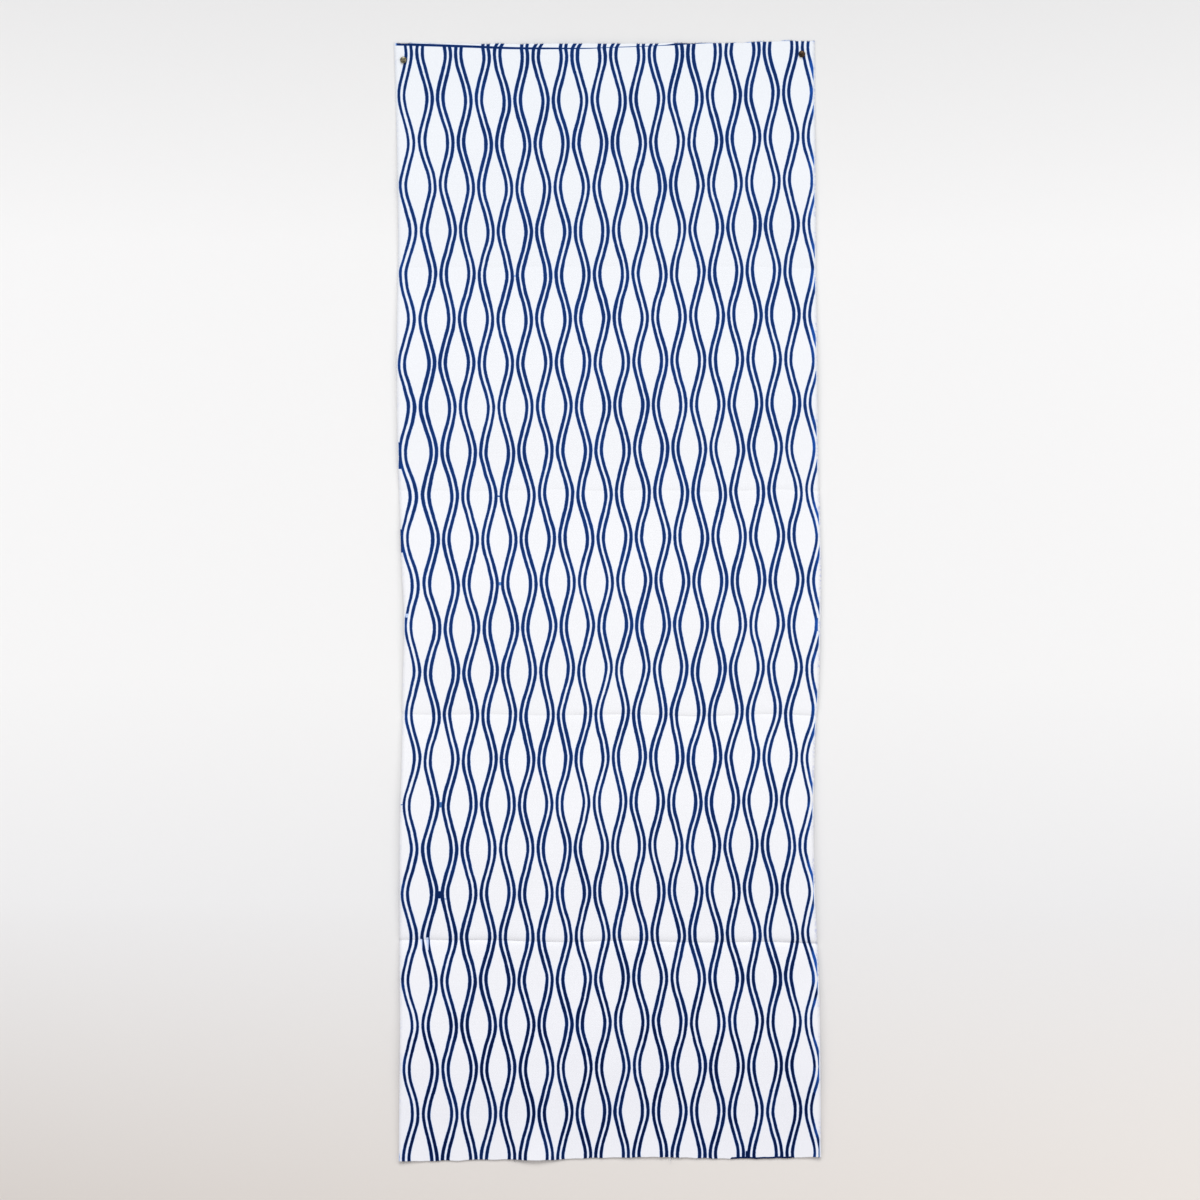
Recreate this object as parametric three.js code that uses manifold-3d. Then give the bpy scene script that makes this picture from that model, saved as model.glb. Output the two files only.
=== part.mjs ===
// Tenugui: a plain cotton hand towel with raw cut ends, hung flat on a wall by two small round-headed pins.
// Millimetres, +Z up. X runs along the wall, the dyed face looks towards -Y, and the wall's plane is Y = 0.
// The origin lies on the wall's plane, midway between the two pins. "below" is a distance down from there.

import * as THREE from "three";
import { mergeVertices } from "three/addons/utils/BufferGeometryUtils.js";
import Module from "manifold-3d";

const wasm = await Module();
wasm.setup();

// Cloth
const CLOTH_THICKNESS = 1.2;
const CLOTH_COLUMNS = 32;
const ROWS_PER_PANEL = 10;
const MERGE_DISTANCE = 0.0001;

// The selvedges: how far each side hangs from the plumb line through the origin
const SELVEDGES = [
  { below: -12, left: 168.2, right: 171.0 },
  { below: 59, left: 166.1, right: 171.4 },
  { below: 139, left: 164.7, right: 171.9 },
  { below: 232, left: 165.9, right: 172.9 },
  { below: 317, left: 165.1, right: 173.7 },
  { below: 373, left: 163.2, right: 175.4 },
  { below: 413, left: 161.8, right: 176.1 },
  { below: 454, left: 160.0, right: 175.6 },
  { below: 510, left: 161.4, right: 174.2 },
  { below: 558, left: 161.7, right: 171.0 },
  { below: 623, left: 163.3, right: 170.0 },
  { below: 679, left: 163.5, right: 171.3 },
  { below: 728, left: 163.6, right: 173.7 },
  { below: 784, left: 163.2, right: 175.1 },
  { below: 889, left: 164.3, right: 176.0 },
];

// The raw cut ends: how far below the origin the cloth ends, at places across its width (0 left, 1 right)
const TOP_CUT = [
  { across: 0, below: -11.2 },
  { across: 0.34, below: -10.4 },
  { across: 0.82, below: -11.4 },
  { across: 0.92, below: -13.0 },
  { across: 1, below: -12.8 },
];
const BOTTOM_CUT = [
  { across: 0, below: 889.6 },
  { across: 0.15, below: 889.0 },
  { across: 0.25, below: 888.1 },
  { across: 0.34, below: 889.0 },
  { across: 0.41, below: 887.5 },
  { across: 0.61, below: 886.5 },
  { across: 0.8, below: 887.7 },
  { across: 1, below: 886.3 },
];

// Five panels between the press creases, top to bottom. At a crease the cloth lies on the wall, and between
// two creases it bows off it, by these amounts at its left side, its middle and its right side. Beside the
// crease at its end the cloth rises by "lift" within a few millimetres, more so on the right, and the crease
// drops by "slant" from left to right.
const PANELS = [
  { end: 169.5, left: 1.6, middle: 1.2, right: 1.2, lift: 0.15, slant: 0 },
  { end: 349.0, left: 1.8, middle: 1.4, right: 1.3, lift: 0.35, slant: 0.5 },
  { end: 530.3, left: 2.5, middle: 1.6, right: 0.8, lift: 0.8, slant: 0.5 },
  { end: 712.6, left: 2.4, middle: 1.6, right: 1.7, lift: 1.75, slant: 1.6 },
  { end: 888.0, left: 3.2, middle: 1.6, right: 2.4, lift: 0, slant: 0 },
];
// The last panel hangs free: its arch stops at this share of a full one, so the end stands off the wall
const FREE_ARCH_SHARE = 0.97;
const CREASE_STAND_OFF = 0.5;
// The lift's reach above a crease, and below it, where the cloth rises less and more gently
const CREASE_REACH_ABOVE = 2.0;
const CREASE_REACH_BELOW = 3.0;
const LIFT_SHARE_BELOW = 0.7;
const TOP_EDGE_STAND_OFF = 1.4;

// Soft upright troughs that run down the lower part of the cloth, at x, between two heights
const TROUGHS = [
  { x: -44, start: 500, end: 900, half_width: 15, depth: 1.3 },
  { x: 60, start: 600, end: 920, half_width: 15, depth: 1.1 },
  { x: -118, start: 560, end: 700, half_width: 18, depth: 0.6 },
  { x: 120, start: 735, end: 860, half_width: 20, depth: 0.8 },
];

// Where the free end curls off the wall a little, over this length above it
const END_LOBES = [
  { x: -163, half_width: 12, rise: 1.5 },
  { x: -54, half_width: 14, rise: 2.4 },
  { x: 48, half_width: 36, rise: 0.9 },
  { x: 175, half_width: 10, rise: 1.3 },
];
const END_LOBE_REACH = 25;

// Pins
const PIN_SPREAD = 321;
const PIN_TILT_RISE = 4.8;
const PIN_HEAD_RADIUS = 2.7;
const PIN_HEAD_HEIGHT = 1.5;
const PIN_RIM_HEIGHT = 0.5;
const PIN_SHANK_RADIUS = 0.55;
const PIN_DEPTH_IN_WALL = 9;
const PIN_POINT_LENGTH = 2.5;
const PIN_SIDES = 20;
const PIN_DOME_STEPS = 4;
const PIN_HOLE_CUT_LENGTH = 10;
const CLEARANCE = 0.3;
// Around each pin the cloth lies dead flat on the wall, and farther away it bows freely
const FLAT_RADIUS = 30;
const FREE_RADIUS = 120;

const PINS = [
  { name: "pin_left", x: -PIN_SPREAD / 2, below: PIN_TILT_RISE / 2, color: 0x6f6a55 },
  { name: "pin_right", x: PIN_SPREAD / 2, below: -PIN_TILT_RISE / 2, color: 0x5b4a3a },
];

// Smooth curve through one column of a table, with the slope at each row taken from its neighbours
function curveThrough(rows, key, column, at) {
  const last = rows.length - 1;
  let i = 0;
  while (i < last - 1 && at > rows[i + 1][key]) {
    i += 1;
  }
  const slopeAt = (n) => {
    const before = rows[Math.max(n - 1, 0)];
    const after = rows[Math.min(n + 1, last)];
    return (after[column] - before[column]) / (after[key] - before[key]);
  };
  const from = rows[i];
  const to = rows[i + 1];
  const span = to[key] - from[key];
  const t = THREE.MathUtils.clamp((at - from[key]) / span, 0, 1);
  const t2 = t * t;
  const t3 = t2 * t;
  return (
    (2 * t3 - 3 * t2 + 1) * from[column] +
    (t3 - 2 * t2 + t) * span * slopeAt(i) +
    (3 * t2 - 2 * t3) * to[column] +
    (t3 - t2) * span * slopeAt(i + 1)
  );
}

// How far below the origin a panel ends, or the cloth starts where the index is -1
function panelEnd(index, across) {
  if (index < 0) {
    return curveThrough(TOP_CUT, "across", "below", across);
  }
  if (index === PANELS.length - 1) {
    return curveThrough(BOTTOM_CUT, "across", "below", across);
  }
  return PANELS[index].end + PANELS[index].slant * (across - 0.5);
}

// Distance between the wall and the cloth's back, at x and below, across being 0 at the left and 1 at the right
function standOff(across, x, below) {
  const found = PANELS.findIndex((_, i) => below <= panelEnd(i, across));
  const index = found < 0 ? PANELS.length - 1 : found;
  const panel = PANELS[index];
  const start = panelEnd(index - 1, across);
  const end = panelEnd(index, across);
  const free = index === PANELS.length - 1;
  const share = THREE.MathUtils.clamp((below - start) / (end - start), 0, 1);
  const arch = Math.sin(Math.PI * share * (free ? FREE_ARCH_SHARE : 1));
  const side = across < 0.5 ? panel.left : panel.right;
  const middleWeight = Math.max(Math.sin(Math.PI * across), 0);
  const sideWeight = 1 - Math.sqrt(middleWeight);
  const bow = side * sideWeight * arch + panel.middle * (1 - sideWeight) * arch ** 2;
  const topLift = index === 0 ? TOP_EDGE_STAND_OFF * middleWeight * (1 - share) : 0;
  let off = CREASE_STAND_OFF + topLift + bow;
  if (free) {
    for (const lobe of END_LOBES) {
      const sideways = Math.exp(-(((x - lobe.x) / lobe.half_width) ** 2));
      off += lobe.rise * sideways * Math.exp((below - end) / END_LOBE_REACH);
    }
  }
  for (const trough of TROUGHS) {
    const sideways = Math.exp(-(((x - trough.x) / trough.half_width) ** 2));
    const run = THREE.MathUtils.clamp((below - trough.start) / (trough.end - trough.start), 0, 1);
    off -= trough.depth * sideways * Math.sin(Math.PI * run) * arch;
  }
  const liftAtStart = index === 0 ? 0 : PANELS[index - 1].lift * LIFT_SHARE_BELOW;
  let lift = liftAtStart * (1 - share - Math.exp(-Math.abs(below - start) / CREASE_REACH_BELOW));
  lift += panel.lift * (share - Math.exp(-Math.abs(end - below) / CREASE_REACH_ABOVE));
  off += lift * (0.75 + 0.6 * across);
  for (const pin of PINS) {
    const distance = Math.hypot(x - pin.x, below - pin.below);
    off *= THREE.MathUtils.smoothstep(distance, FLAT_RADIUS, FREE_RADIUS);
  }
  return Math.max(off, 0);
}

// How far below the origin a row of the cloth lies. Rows are closest together next to the creases.
function rowBelow(row, across) {
  const index = Math.min(Math.floor(row / ROWS_PER_PANEL), PANELS.length - 1);
  const start = panelEnd(index - 1, across);
  const end = panelEnd(index, across);
  const share = row / ROWS_PER_PANEL - index;
  const eased = (1 - Math.cos(Math.PI * share)) / 2;
  return start + (end - start) * THREE.MathUtils.lerp(share, eased, 0.5);
}

function solidFrom(geometry) {
  const bare = geometry.clone();
  bare.deleteAttribute("normal");
  bare.deleteAttribute("uv");
  const merged = mergeVertices(bare, MERGE_DISTANCE);
  const mesh = new wasm.Mesh({
    numProp: 3,
    vertProperties: new Float32Array(merged.attributes.position.array),
    triVerts: new Uint32Array(merged.index.array),
  });
  return new wasm.Manifold(mesh);
}

function geometryFrom(solid) {
  const mesh = solid.getMesh();
  const geometry = new THREE.BufferGeometry();
  geometry.setAttribute("position", new THREE.BufferAttribute(new Float32Array(mesh.vertProperties), 3));
  geometry.setIndex(new THREE.BufferAttribute(new Uint32Array(mesh.triVerts), 1));
  geometry.computeVertexNormals();
  return geometry;
}

// The towel: a thin flat box whose points are moved to the hung shape, pierced where the pins pass through
function makeTowel() {
  const rows = ROWS_PER_PANEL * PANELS.length;
  const sheet = new THREE.BoxGeometry(1, 1, 1, CLOTH_COLUMNS, 1, rows);
  const points = sheet.attributes.position;
  for (let i = 0; i < points.count; i += 1) {
    const across = points.getX(i) + 0.5;
    const row = Math.round((0.5 - points.getZ(i)) * rows);
    const below = rowBelow(row, across);
    const left = curveThrough(SELVEDGES, "below", "left", below);
    const right = curveThrough(SELVEDGES, "below", "right", below);
    const x = THREE.MathUtils.lerp(-left, right, across);
    const onFace = points.getY(i) < 0;
    const y = -standOff(across, x, below) - (onFace ? CLOTH_THICKNESS : 0);
    points.setXYZ(i, x, y, -below);
  }
  let solid = solidFrom(sheet);
  for (const pin of PINS) {
    const radius = PIN_SHANK_RADIUS + CLEARANCE;
    const drill = new THREE.CylinderGeometry(radius, radius, PIN_HOLE_CUT_LENGTH, PIN_SIDES);
    drill.translate(pin.x, 0, -pin.below);
    solid = solid.subtract(solidFrom(drill));
  }
  const cotton = new THREE.MeshStandardMaterial({ color: 0xf1f3fb, roughness: 0.9, metalness: 0 });
  const towel = new THREE.Mesh(geometryFrom(solid), cotton);
  towel.name = "towel";
  return towel;
}

// A pin: a low domed head in front of the cloth, on a pointed shank that runs through it into the wall
function makePin(pin) {
  const seat = -(CLOTH_THICKNESS + CLEARANCE);
  const rim = seat - PIN_RIM_HEIGHT;
  const domeRise = PIN_HEAD_HEIGHT - PIN_RIM_HEIGHT;
  const profile = [];
  profile.push(new THREE.Vector2(0, PIN_DEPTH_IN_WALL));
  profile.push(new THREE.Vector2(PIN_SHANK_RADIUS, PIN_DEPTH_IN_WALL - PIN_POINT_LENGTH));
  profile.push(new THREE.Vector2(PIN_SHANK_RADIUS, seat));
  profile.push(new THREE.Vector2(PIN_HEAD_RADIUS, seat));
  for (let step = 0; step <= PIN_DOME_STEPS; step += 1) {
    const angle = (Math.PI / 2) * (step / PIN_DOME_STEPS);
    const radius = step === PIN_DOME_STEPS ? 0 : PIN_HEAD_RADIUS * Math.cos(angle);
    profile.push(new THREE.Vector2(radius, rim - domeRise * Math.sin(angle)));
  }
  profile.reverse();
  const metal = new THREE.MeshStandardMaterial({ color: pin.color, roughness: 0.4, metalness: 0.9 });
  const mesh = new THREE.Mesh(new THREE.LatheGeometry(profile, PIN_SIDES), metal);
  mesh.name = pin.name;
  mesh.position.set(pin.x, 0, -pin.below);
  return mesh;
}

const tenugui = new THREE.Group();
tenugui.add(makeTowel());
for (const pin of PINS) {
  tenugui.add(makePin(pin));
}

export default tenugui;
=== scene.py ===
import math
import random

import bmesh
import bpy
from mathutils import Matrix, Vector, noise


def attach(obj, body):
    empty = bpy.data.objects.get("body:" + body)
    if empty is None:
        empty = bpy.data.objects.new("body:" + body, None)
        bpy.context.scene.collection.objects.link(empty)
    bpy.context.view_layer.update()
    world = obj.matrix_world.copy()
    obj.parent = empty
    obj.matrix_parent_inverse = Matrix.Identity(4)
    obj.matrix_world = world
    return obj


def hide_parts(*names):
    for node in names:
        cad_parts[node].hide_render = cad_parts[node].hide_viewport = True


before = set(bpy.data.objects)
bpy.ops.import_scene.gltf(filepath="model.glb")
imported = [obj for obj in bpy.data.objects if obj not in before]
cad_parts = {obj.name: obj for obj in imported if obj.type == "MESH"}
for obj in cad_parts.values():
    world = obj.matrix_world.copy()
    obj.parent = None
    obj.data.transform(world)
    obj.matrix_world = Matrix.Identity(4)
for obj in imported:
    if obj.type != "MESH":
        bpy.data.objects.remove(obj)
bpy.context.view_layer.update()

# Camera
# It looks square on to the cloth from the height of the cloth's middle, through a long lens, so that the
# sides stay upright. The picture spans 967 mm of wall, which leaves bare wall all round the cloth.
PICTURE_SPAN = 0.9672
PICTURE_CENTRE_X = -0.0021
PICTURE_CENTRE_Z = -0.4375
CAMERA_DISTANCE = 3.4
CAMERA_SENSOR_MM = 36

camera_data = bpy.data.cameras.new("camera")
camera_data.sensor_width = CAMERA_SENSOR_MM
camera_data.lens = CAMERA_SENSOR_MM * CAMERA_DISTANCE / PICTURE_SPAN
camera = bpy.data.objects.new("camera", camera_data)
bpy.context.collection.objects.link(camera)
camera.location = (PICTURE_CENTRE_X, -CAMERA_DISTANCE, PICTURE_CENTRE_Z)
camera.rotation_euler = (math.radians(90), 0, 0)
bpy.context.scene.camera = camera
bpy.context.scene.view_settings.view_transform = "Standard"

# Towel: hung shape
# One cut length of bleached plain-weave cotton, 340 by 904 mm laid flat, with woven selvedges and raw ends.
# It was folded in five, so four press creases lie against the wall and the cloth bows off it between them.
MM = 0.001
FLAT_WIDTH = 340
FLAT_LENGTH = 904
CLOTH_THICKNESS = 0.4
# The cloth runs in the middle of its solid, which is this thick
SOLID_THICKNESS = 1.2
COLUMNS = 104
ROWS_PER_PANEL = 72
ROW_EASING = 0.85

# How far each side hangs from the plumb line through the origin, at distances below the pins
SELVEDGES = [
    {"below": -12, "left": 168.2, "right": 171.0},
    {"below": 59, "left": 166.1, "right": 171.4},
    {"below": 139, "left": 164.7, "right": 171.9},
    {"below": 232, "left": 165.9, "right": 172.9},
    {"below": 317, "left": 165.1, "right": 173.7},
    {"below": 373, "left": 163.2, "right": 175.4},
    {"below": 413, "left": 161.8, "right": 176.1},
    {"below": 454, "left": 160.0, "right": 175.6},
    {"below": 510, "left": 161.4, "right": 174.2},
    {"below": 558, "left": 161.7, "right": 171.0},
    {"below": 623, "left": 163.3, "right": 170.0},
    {"below": 679, "left": 163.5, "right": 171.3},
    {"below": 728, "left": 163.6, "right": 173.7},
    {"below": 784, "left": 163.2, "right": 175.1},
    {"below": 889, "left": 164.3, "right": 176.0},
]
TOP_CUT = [
    {"across": 0, "below": -11.2},
    {"across": 0.34, "below": -10.4},
    {"across": 0.82, "below": -11.4},
    {"across": 0.92, "below": -13.0},
    {"across": 1, "below": -12.8},
]
BOTTOM_CUT = [
    {"across": 0, "below": 889.6},
    {"across": 0.15, "below": 889.0},
    {"across": 0.25, "below": 888.1},
    {"across": 0.34, "below": 889.0},
    {"across": 0.41, "below": 887.5},
    {"across": 0.61, "below": 886.5},
    {"across": 0.8, "below": 887.7},
    {"across": 1, "below": 886.3},
]
# Each panel ends at a crease, or at the free end. It bows off the wall by these amounts at its left side,
# middle and right side. Beside the crease at its end the cloth rises by "lift" within a few millimetres,
# and the crease drops by "slant" from left to right.
PANELS = [
    {"end": 169.5, "left": 1.6, "middle": 1.2, "right": 1.2, "lift": 0.15, "slant": 0},
    {"end": 349.0, "left": 1.8, "middle": 1.4, "right": 1.3, "lift": 0.35, "slant": 0.5},
    {"end": 530.3, "left": 2.5, "middle": 1.6, "right": 0.8, "lift": 0.8, "slant": 0.5},
    {"end": 712.6, "left": 2.4, "middle": 1.6, "right": 1.7, "lift": 1.75, "slant": 1.6},
    {"end": 888.0, "left": 3.2, "middle": 1.6, "right": 2.4, "lift": 0, "slant": 0},
]
FREE_ARCH_SHARE = 0.97
CREASE_STAND_OFF = 0.5
# The lift's reach above a crease, and below it, where the cloth rises less and more gently
CREASE_REACH_ABOVE = 2.0
CREASE_REACH_BELOW = 3.0
LIFT_SHARE_BELOW = 0.7
# The lift's share at the left selvedge, and how much it gains on the way to the right one
LIFT_SHARE_LEFT = 0.75
LIFT_GAIN_ACROSS = 0.6
TOP_EDGE_STAND_OFF = 1.4
# Soft upright troughs, each deepest half way between two distances below the pins
TROUGHS = [
    {"x": -44, "start": 500, "end": 900, "half_width": 15, "depth": 1.3},
    {"x": 60, "start": 600, "end": 920, "half_width": 15, "depth": 1.1},
    {"x": -118, "start": 560, "end": 700, "half_width": 18, "depth": 0.6},
    {"x": 120, "start": 735, "end": 860, "half_width": 20, "depth": 0.8},
]
# Where the free end curls off the wall a little
END_LOBES = [
    {"x": -163, "half_width": 12, "rise": 1.5},
    {"x": -54, "half_width": 14, "rise": 2.4},
    {"x": 48, "half_width": 36, "rise": 0.9},
    {"x": 175, "half_width": 10, "rise": 1.3},
]
END_LOBE_REACH = 25
PINNED_SPOTS = [
    {"x": -160.5, "below": 2.4},
    {"x": 160.5, "below": -2.4},
]
# Round each pin the cloth lies flat on the wall, out to the first radius, and it hangs free past the second
FLAT_RADIUS = 30
FREE_RADIUS = 120
# A crease and a cut end stray from their line, and the cloth is a little uneven everywhere: size, and length
CREASE_STRAY = {"size": 1.6, "length": 55}
CUT_STRAY = {"size": 0.7, "length": 9}
WRINKLES = [
    {"size": 0.7, "length": 60},
    {"size": 0.2, "length": 17},
]
# Wrinkles grow with the distance off the wall, up to this one
FULL_WRINKLE_STAND_OFF = 2


def curve_through(rows, key, column, at):
    """The value of one column of a table at a place between its rows, on a smooth curve through them"""
    last = len(rows) - 1
    i = 0
    while i < last - 1 and at > rows[i + 1][key]:
        i += 1
    slopes = []
    for n in (i, i + 1):
        before = rows[max(n - 1, 0)]
        after = rows[min(n + 1, last)]
        slopes.append((after[column] - before[column]) / (after[key] - before[key]))
    span = rows[i + 1][key] - rows[i][key]
    t = min(max((at - rows[i][key]) / span, 0), 1)
    return (
        (2 * t**3 - 3 * t**2 + 1) * rows[i][column]
        + (t**3 - 2 * t**2 + t) * span * slopes[0]
        + (3 * t**2 - 2 * t**3) * rows[i + 1][column]
        + (t**3 - t**2) * span * slopes[1]
    )


def smooth_step(value, low, high):
    t = min(max((value - low) / (high - low), 0), 1)
    return t * t * (3 - 2 * t)


def stray(swell, x, y, layer):
    """Smooth unevenness of a given size and length, in millimetres. Each layer is another one."""
    return swell["size"] * noise.noise(Vector((x / swell["length"], y / swell["length"], layer + 0.5)))


def panel_end(index, across):
    """How far below the pins the panel ends, or the cloth starts where index is -1"""
    x = across * FLAT_WIDTH
    if index < 0:
        return curve_through(TOP_CUT, "across", "below", across) + stray(CUT_STRAY, x, 0, 1)
    if index == len(PANELS) - 1:
        return curve_through(BOTTOM_CUT, "across", "below", across) + stray(CUT_STRAY, x, 0, 2)
    panel = PANELS[index]
    return panel["end"] + panel["slant"] * (across - 0.5) + stray(CREASE_STRAY, x, 0, 3 + index)


def stand_off(across, x, below, index, share):
    """Distance in millimetres between the wall and the back of the towel's solid"""
    panel = PANELS[index]
    start = panel_end(index - 1, across)
    end = panel_end(index, across)
    is_free = index == len(PANELS) - 1
    arch = math.sin(math.pi * share * (FREE_ARCH_SHARE if is_free else 1))
    side = panel["left"] if across < 0.5 else panel["right"]
    middle_weight = max(math.sin(math.pi * across), 0)
    side_weight = 1 - math.sqrt(middle_weight)
    off = CREASE_STAND_OFF + side * side_weight * arch + panel["middle"] * (1 - side_weight) * arch**2
    if index == 0:
        off += TOP_EDGE_STAND_OFF * middle_weight * (1 - share)
    if is_free:
        for lobe in END_LOBES:
            sideways = math.exp(-(((x - lobe["x"]) / lobe["half_width"]) ** 2))
            off += lobe["rise"] * sideways * math.exp((below - end) / END_LOBE_REACH)
    for trough in TROUGHS:
        sideways = math.exp(-(((x - trough["x"]) / trough["half_width"]) ** 2))
        run = min(max((below - trough["start"]) / (trough["end"] - trough["start"]), 0), 1)
        off -= trough["depth"] * sideways * math.sin(math.pi * run) * arch
    lift_at_start = PANELS[index - 1]["lift"] * LIFT_SHARE_BELOW if index > 0 else 0
    lift = lift_at_start * (1 - share - math.exp((start - below) / CREASE_REACH_BELOW))
    lift += panel["lift"] * (share - math.exp((below - end) / CREASE_REACH_ABOVE))
    off += lift * (LIFT_SHARE_LEFT + LIFT_GAIN_ACROSS * across)
    for pin in PINNED_SPOTS:
        distance = math.hypot(x - pin["x"], below - pin["below"])
        off *= smooth_step(distance, FLAT_RADIUS, FREE_RADIUS)
    return max(off, 0)


def cloth_point(across, index, share):
    """A point in the middle of the cloth's thickness, in metres, at a share of the way down a panel"""
    start = panel_end(index - 1, across)
    below = start + (panel_end(index, across) - start) * share
    left = curve_through(SELVEDGES, "below", "left", below)
    right = curve_through(SELVEDGES, "below", "right", below)
    x = -left + (left + right) * across
    off = stand_off(across, x, below, index, share)
    freedom = min(off / FULL_WRINKLE_STAND_OFF, 1)
    for layer, wrinkle in enumerate(WRINKLES):
        off += freedom * stray(wrinkle, x, below, 20 + layer)
    return Vector((x, -(max(off, 0) + SOLID_THICKNESS / 2), -below)) * MM


def cloth_row(row):
    """One row of the cloth's points, spread evenly along its own surface from selvedge to selvedge"""
    index = min(row // ROWS_PER_PANEL, len(PANELS) - 1)
    share = row / ROWS_PER_PANEL - index
    share += ((1 - math.cos(math.pi * share)) / 2 - share) * ROW_EASING
    fine = [cloth_point(step / COLUMNS, index, share) for step in range(COLUMNS + 1)]
    run = [0]
    for before, after in zip(fine, fine[1:]):
        run.append(run[-1] + (after - before).length)
    points = []
    at = 0
    for step in range(COLUMNS + 1):
        wanted = run[-1] * step / COLUMNS
        while at < COLUMNS - 1 and run[at + 1] < wanted:
            at += 1
        across = (at + (wanted - run[at]) / (run[at + 1] - run[at])) / COLUMNS
        points.append(cloth_point(across, index, share))
    return points


total_rows = ROWS_PER_PANEL * len(PANELS)
hung_rows = [cloth_row(row) for row in range(total_rows + 1)]
# How far down the flat cloth each row lies, measured along the cloth's middle
row_depths = [0]
for before, after in zip(hung_rows, hung_rows[1:]):
    row_depths.append(row_depths[-1] + (after[COLUMNS // 2] - before[COLUMNS // 2]).length / MM)
print("towel: its length along the middle is", round(row_depths[-1], 1), "mm")

cloth_mesh = bmesh.new()
bmesh.ops.create_grid(cloth_mesh, x_segments=COLUMNS, y_segments=total_rows, size=0.5)
# Where each point lies on the flat cloth: millimetres from the left selvedge, and from the top cut end
flat_places = []
for vert in cloth_mesh.verts:
    column = round((vert.co.x + 0.5) * COLUMNS)
    row = round((0.5 - vert.co.y) * total_rows)
    flat_places.append((column / COLUMNS * FLAT_WIDTH, row_depths[row]))
    vert.co = hung_rows[row][column]
bmesh.ops.recalc_face_normals(cloth_mesh, faces=cloth_mesh.faces)

# Towel: cut ends
# The ends are cut across and left raw, so the ends of the warp threads stand out of them as a short fringe.
# They are bits of the towel's own yarn, fixed by the weave, and three longer ones hang where it has frayed.
THREAD_PITCH = 0.55
THREAD_RADIUS = 0.13
THREAD_TIP_SHARE = 0.6
THREAD_SIDES = 4
THREAD_ROOT = 0.7
THREAD_LENGTHS = {"top": (0.25, 1.3), "bottom": (0.1, 0.6)}
# How much of a length drawn between those a thread gets, and its place within its own pitch
THREAD_LENGTH_SHARES = (0.4, 1)
THREAD_JITTER = (0.3, 0.7)
THREAD_LEAN = 0.35
# How far the threads point into the room, as shares of their length
THREAD_FORWARD = (-0.3, 0.1)
FRAYED_FORWARD = -0.1
# The threads take the print's colour from this far inside the cloth
THREAD_COLOUR_DEPTH = 0.1
FRAYED = [
    {"across": 218.2, "length": 5.6, "lean": 0.1},
    {"across": 220.1, "length": 3.2, "lean": -0.5},
    {"across": 93.0, "length": 2.6, "lean": 0.4},
]

random.seed(5)
thread_mesh = bmesh.new()
thread_places = []


def add_thread(across, is_top, length, lean, forward):
    """One thread end that starts inside the cloth and stands out of its cut end"""
    row = hung_rows[0] if is_top else hung_rows[-1]
    inner_row = hung_rows[2] if is_top else hung_rows[-3]
    at = min(across / FLAT_WIDTH * COLUMNS, COLUMNS - 0.001)
    column = int(at)
    edge = row[column].lerp(row[column + 1], at - column)
    inner = inner_row[column].lerp(inner_row[column + 1], at - column)
    out = ((edge - inner).normalized() + Vector((lean, forward, 0))).normalized()
    depth = (length + THREAD_ROOT) * MM
    centre = edge + out * ((length - THREAD_ROOT) / 2 * MM)
    turn = Vector((0, 0, 1)).rotation_difference(out).to_matrix().to_4x4()
    made = bmesh.ops.create_cone(
        thread_mesh,
        cap_ends=True,
        segments=THREAD_SIDES,
        radius1=THREAD_RADIUS * MM,
        radius2=THREAD_RADIUS * MM * THREAD_TIP_SHARE,
        depth=depth,
        matrix=Matrix.Translation(centre) @ turn,
    )
    down = THREAD_COLOUR_DEPTH if is_top else row_depths[-1] - THREAD_COLOUR_DEPTH
    thread_places.extend([(across, down)] * len(made["verts"]))


for is_top in (True, False):
    shortest, longest = THREAD_LENGTHS["top" if is_top else "bottom"]
    for step in range(int(FLAT_WIDTH / THREAD_PITCH)):
        across = (step + random.uniform(*THREAD_JITTER)) * THREAD_PITCH
        length = random.uniform(shortest, longest) * random.uniform(*THREAD_LENGTH_SHARES)
        lean = random.uniform(-1, 1) * THREAD_LEAN
        add_thread(across, is_top, length, lean, random.uniform(*THREAD_FORWARD))
for frayed in FRAYED:
    add_thread(frayed["across"], False, frayed["length"], frayed["lean"], FRAYED_FORWARD)

# Towel: printed lines
# Pairs of wavy lines run down the cloth and mirror each other, so that they close in to necks and open to
# long eyes. The dye was poured through a stencil that was laid down by hand, so the rows lean and wander, and
# a thin line near the top end shows where the stencil stopped.
COLUMN_PERIOD = 31.16
FIRST_AXIS = 17.0
NARROWING = 0.0063
NARROWING_CENTRE = 47.6
ROW_PERIOD = 71.15
FIRST_NECK = 8.6
ROW_LEAN = 3.5
ROW_BOW = 2.4
SIDEWAYS_TREMBLE = {"size": 0.4, "length": 10}
ABOVE_LINE_LEAN = 0.4
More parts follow.
